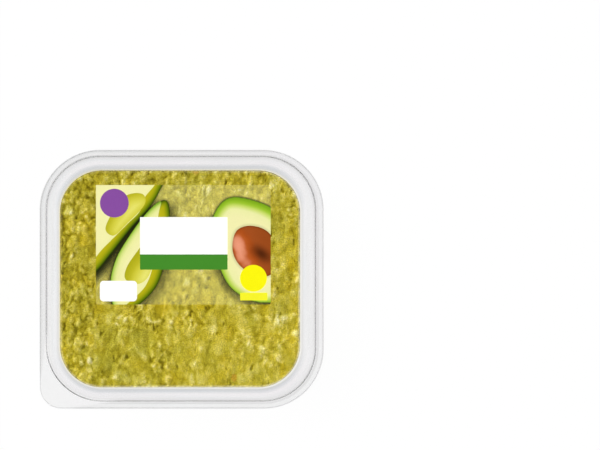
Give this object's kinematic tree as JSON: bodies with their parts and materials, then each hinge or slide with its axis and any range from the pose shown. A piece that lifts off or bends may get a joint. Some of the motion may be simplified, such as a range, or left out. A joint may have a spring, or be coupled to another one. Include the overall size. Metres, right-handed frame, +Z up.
{
  "type": "sealed tub of guacamole",
  "caption": "Shallow clear square tub with rounded corners and a peel corner, filled with chunky green guacamole and sealed flat with a clear film that carries a printed label.",
  "frame": {"origin": "on the surface the tub stands on, under the middle of the cut edge", "axes": "+X along the longer side, to the right of the label; +Y along the shorter side, to the top of the label; +Z up out of the tub. The squarer peel corner is at -X -Y."},
  "size_m": [0.122, 0.1112, 0.0195],
  "materials": {
    "clear_tray": "clear thermoformed plastic, glossy",
    "guacamole": "mashed avocado, moist and lumpy",
    "clear_film": "thin clear film, glossy",
    "printed_label": "printed translucent plastic, satin"
  },
  "bodies": {
    "root": {"tray": "clear_tray", "guacamole": "guacamole", "film_lid": "clear_film", "label": "printed_label"}
  },
  "joints": []
}
